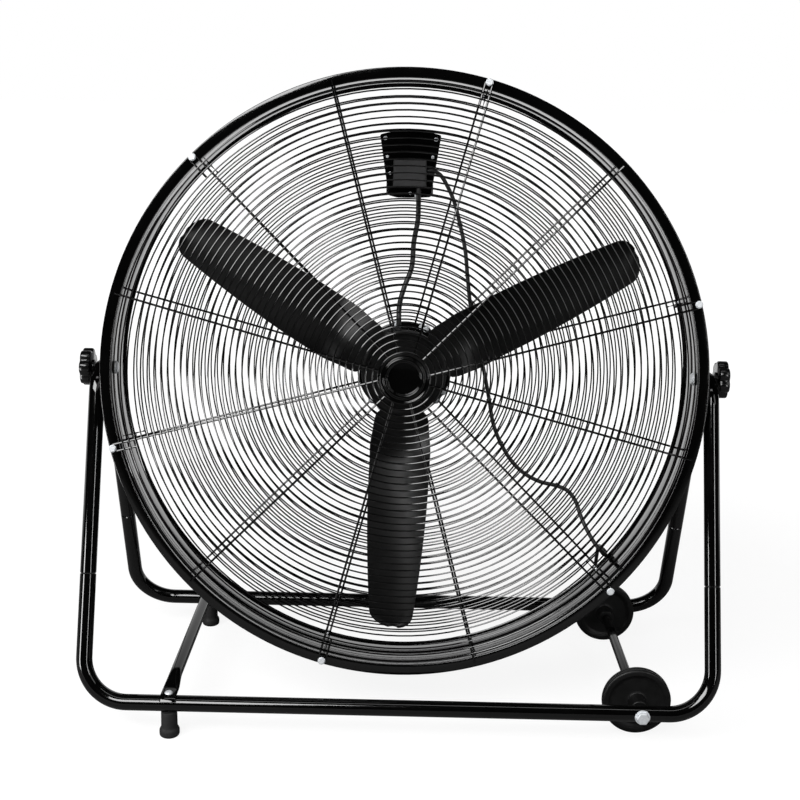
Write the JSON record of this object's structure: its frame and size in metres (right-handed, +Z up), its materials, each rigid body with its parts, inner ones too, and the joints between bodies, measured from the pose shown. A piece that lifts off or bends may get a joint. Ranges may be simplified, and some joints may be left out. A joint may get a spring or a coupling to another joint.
{
  "type": "drum fan",
  "caption": "Large drum fan: a guarded sheet-metal drum with a direct-drive motor and paddle blades, tilting between the legs of a tubular stand with feet and wheels.",
  "frame": {"origin": "on the floor, under the middle of the tilt axis and midway between the two base tubes", "axes": "+Z up; +X to the right as the fan is faced, along the tilt axis; the fan blows towards -Y, and +Y is its back"},
  "size_m": [1.063, 0.5912, 1.0415],
  "materials": {
    "black_enamel": "gloss",
    "black_fan_paint": "satin",
    "black_plastic": "satin",
    "black_rubber": "matte",
    "tyre_rubber": "matte",
    "zinc_plate": "satin",
    "machined_steel": "satin",
    "laminated_core": "satin",
    "cord_sheath": "satin"
  },
  "bodies": {
    "stand": {"front_base_tube": "black_enamel", "rear_base_tube": "black_enamel", "left_side_tube": "black_enamel", "right_side_tube": "black_enamel", "cross_member": "black_enamel", "front_cross_bolt": "zinc_plate", "rear_cross_bolt": "zinc_plate", "front_foot": "black_rubber", "rear_foot": "black_rubber", "axle_rod": "zinc_plate", "axle_nut": "zinc_plate", "axle_spacer": "machined_steel", "cord_drop": "cord_sheath", "cord_coil": "cord_sheath", "plug": "black_rubber"},
    "drum": {"drum_shell": "black_enamel", "front_guard": "black_enamel", "rear_guard": "black_enamel", "guard_badge": "black_plastic", "front_guard_screw_1": "zinc_plate", "front_guard_screw_2": "zinc_plate", "front_guard_screw_3": "zinc_plate", "front_guard_screw_4": "zinc_plate", "front_guard_screw_5": "zinc_plate", "front_guard_screw_6": "zinc_plate", "rear_guard_screw_1": "zinc_plate", "rear_guard_screw_2": "zinc_plate", "rear_guard_screw_3": "zinc_plate", "rear_guard_screw_4": "zinc_plate", "rear_guard_screw_5": "zinc_plate", "rear_guard_screw_6": "zinc_plate", "motor_front_cover": "black_fan_paint", "motor_rear_cover": "black_fan_paint", "motor_stator": "laminated_core", "front_bearing": "machined_steel", "rear_bearing": "machined_steel", "motor_mount_plate": "black_enamel", "switch_plate": "black_enamel", "terminal_cover": "black_plastic", "switch_housing": "black_plastic", "run_capacitor": "black_plastic", "motor_lead": "cord_sheath", "mains_lead": "cord_sheath", "cord_gland": "black_rubber", "left_pivot_bolt": "zinc_plate", "right_pivot_bolt": "zinc_plate", "left_pivot_washer": "black_plastic", "right_pivot_washer": "black_plastic"},
    "rotor": {"motor_shaft": "machined_steel", "rotor_core": "laminated_core", "blade_hub": "black_fan_paint", "hub_nut": "zinc_plate", "blade_1": "black_fan_paint", "blade_2": "black_fan_paint", "blade_3": "black_fan_paint"},
    "speed_knob": {"speed_knob": "black_plastic"},
    "left_tilt_knob": {"left_tilt_knob": "black_plastic"},
    "right_tilt_knob": {"right_tilt_knob": "black_plastic"},
    "front_wheel": {"front_wheel": "tyre_rubber"},
    "rear_wheel": {"rear_wheel": "tyre_rubber"}
  },
  "joints": [
    {"name": "drum_tilt", "type": "hinge", "parent": "stand", "child": "drum", "pos_m": [0, 0, 0.55], "axis": [1, 0, 0], "range_deg": [-81.5, 98.5], "deforming": ["cord_drop"]},
    {"name": "fan_spin", "type": "hinge", "parent": "drum", "child": "rotor", "pos_m": [0, 0, 0.55], "axis": [0, -0.989, 0.1478], "continuous": true},
    {"name": "speed_knob_turn", "type": "hinge", "parent": "drum", "child": "speed_knob", "pos_m": [0.003, 0.05114, 0.8922], "axis": [0, 0.989, -0.1478], "range_deg": [-135, 0]},
    {"name": "left_tilt_knob_turn", "type": "hinge", "parent": "drum", "child": "left_tilt_knob", "pos_m": [-0.52, 0, 0.55], "axis": [-1, 0, 0], "range_deg": [0, 270]},
    {"name": "right_tilt_knob_turn", "type": "hinge", "parent": "drum", "child": "right_tilt_knob", "pos_m": [0.52, 0, 0.55], "axis": [1, 0, 0], "range_deg": [0, 270]},
    {"name": "front_wheel_spin", "type": "hinge", "parent": "stand", "child": "front_wheel", "pos_m": [0.385, -0.165, 0.055], "axis": [0, 1, 0], "continuous": true},
    {"name": "rear_wheel_spin", "type": "hinge", "parent": "stand", "child": "rear_wheel", "pos_m": [0.385, 0.182, 0.055], "axis": [0, 1, 0], "continuous": true}
  ]
}
